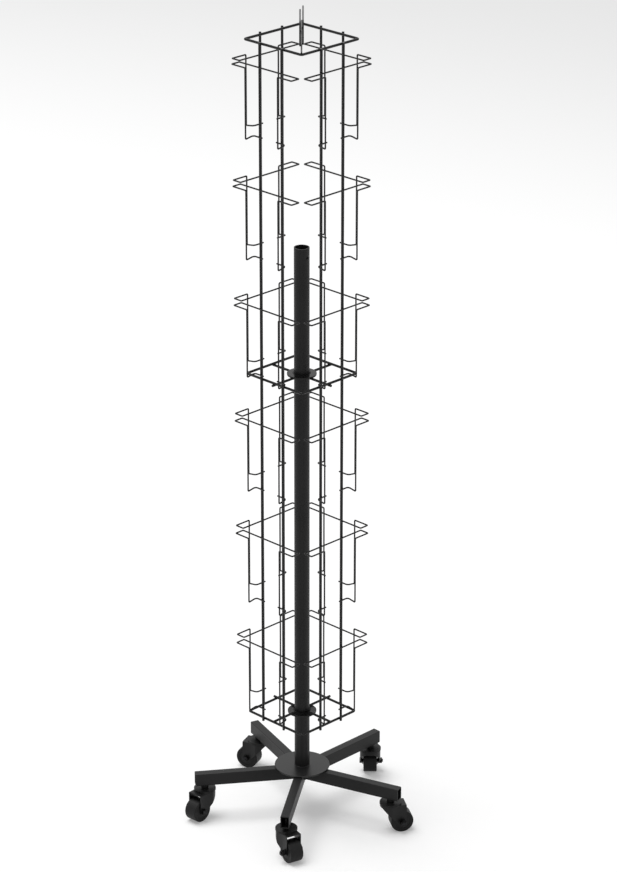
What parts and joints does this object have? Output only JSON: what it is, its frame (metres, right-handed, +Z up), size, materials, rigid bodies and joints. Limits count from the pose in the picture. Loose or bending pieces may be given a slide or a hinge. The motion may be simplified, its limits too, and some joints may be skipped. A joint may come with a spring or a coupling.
{
  "type": "greeting card display rack",
  "caption": "Floor-standing wire card rack: a square cage of bent-wire card pockets spins on a post over a round plate with tube legs on swivel casters.",
  "frame": {"origin": "on the floor, under the middle of the overall box; the post's axis stands beside it", "axes": "+Z up along the post, +X and +Y square to the cage's faces at rest"},
  "size_m": [0.3981, 0.3855, 1.4405],
  "materials": {
    "wire_paint": "satin black",
    "tube_paint": "satin black",
    "base_coat": "satin black",
    "wheel_plastic": "matt black",
    "black_zinc": "black zinc",
    "nylon": "matt black"
  },
  "bodies": {
    "base": {"post": "tube_paint", "base_plate": "base_coat", "leg_1": "base_coat", "leg_2": "base_coat", "leg_3": "base_coat", "leg_4": "base_coat", "leg_5": "base_coat"},
    "cage": {"bottom_bush": "nylon", "bottom_hub_ring": "wire_paint", "card_pocket_a1": "wire_paint", "card_pocket_a2": "wire_paint", "card_pocket_a3": "wire_paint", "card_pocket_a4": "wire_paint", "card_pocket_a5": "wire_paint", "card_pocket_a6": "wire_paint", "card_pocket_b1": "wire_paint", "card_pocket_b2": "wire_paint", "card_pocket_b3": "wire_paint", "card_pocket_b4": "wire_paint", "card_pocket_b5": "wire_paint", "card_pocket_b6": "wire_paint", "card_pocket_c1": "wire_paint", "card_pocket_c2": "wire_paint", "card_pocket_c3": "wire_paint", "card_pocket_c4": "wire_paint", "card_pocket_c5": "wire_paint", "card_pocket_c6": "wire_paint", "card_pocket_d1": "wire_paint", "card_pocket_d2": "wire_paint", "card_pocket_d3": "wire_paint", "card_pocket_d4": "wire_paint", "card_pocket_d5": "wire_paint", "card_pocket_d6": "wire_paint", "middle_bush": "nylon", "middle_hub_ring": "wire_paint", "rod_a_left": "wire_paint", "rod_a_right": "wire_paint", "rod_b_left": "wire_paint", "rod_b_right": "wire_paint", "rod_c_left": "wire_paint", "rod_c_right": "wire_paint", "rod_d_left": "wire_paint", "rod_d_right": "wire_paint", "sign_holder": "wire_paint", "top_ring": "wire_paint"},
    "swivel_1": {"caster_fork_1": "base_coat", "caster_axle_1": "black_zinc"},
    "wheel_1": {"caster_wheel_1": "wheel_plastic"},
    "swivel_2": {"caster_fork_2": "base_coat", "caster_axle_2": "black_zinc"},
    "wheel_2": {"caster_wheel_2": "wheel_plastic"},
    "swivel_3": {"caster_fork_3": "base_coat", "caster_axle_3": "black_zinc"},
    "wheel_3": {"caster_wheel_3": "wheel_plastic"},
    "swivel_4": {"caster_fork_4": "base_coat", "caster_axle_4": "black_zinc"},
    "wheel_4": {"caster_wheel_4": "wheel_plastic"},
    "swivel_5": {"caster_fork_5": "base_coat", "caster_axle_5": "black_zinc"},
    "wheel_5": {"caster_wheel_5": "wheel_plastic"}
  },
  "joints": [
    {"name": "cage_spin", "type": "hinge", "parent": "base", "child": "cage", "pos_m": [0.0045, -0.0144, 0], "axis": [0, 0, 1], "continuous": true},
    {"name": "swivel_turn_1", "type": "hinge", "parent": "base", "child": "swivel_1", "pos_m": [0.16808, 0.03875, 0], "axis": [0, 0, 1], "continuous": true},
    {"name": "wheel_roll_1", "type": "hinge", "parent": "swivel_1", "child": "wheel_1", "pos_m": [0.17827, 0.05443, 0.02005], "axis": [-0.8387, 0.5446, 0], "continuous": true},
    {"name": "swivel_turn_2", "type": "hinge", "parent": "base", "child": "swivel_2", "pos_m": [0.0045, 0.1576, 0], "axis": [0, 0, 1], "continuous": true},
    {"name": "wheel_roll_2", "type": "hinge", "parent": "swivel_2", "child": "wheel_2", "pos_m": [-0.00849, 0.17105, 0.02005], "axis": [-0.7193, -0.6947, 0], "continuous": true},
    {"name": "swivel_turn_3", "type": "hinge", "parent": "base", "child": "swivel_3", "pos_m": [-0.15908, 0.03875, 0], "axis": [0, 0, 1], "continuous": true},
    {"name": "wheel_roll_3", "type": "hinge", "parent": "swivel_3", "child": "wheel_3", "pos_m": [-0.17654, 0.03205, 0.02005], "axis": [0.3584, -0.9336, 0], "continuous": true},
    {"name": "swivel_turn_4", "type": "hinge", "parent": "base", "child": "swivel_4", "pos_m": [-0.0966, -0.15355, 0], "axis": [0, 0, 1], "continuous": true},
    {"name": "wheel_roll_4", "type": "hinge", "parent": "swivel_4", "child": "wheel_4", "pos_m": [-0.09562, -0.17222, 0.02005], "axis": [0.9986, 0.0523, 0], "continuous": true},
    {"name": "swivel_turn_5", "type": "hinge", "parent": "base", "child": "swivel_5", "pos_m": [0.1056, -0.15355, 0], "axis": [0, 0, 1], "continuous": true},
    {"name": "wheel_roll_5", "type": "hinge", "parent": "swivel_5", "child": "wheel_5", "pos_m": [0.12366, -0.15839, 0.02005], "axis": [0.2588, 0.9659, 0], "continuous": true}
  ]
}
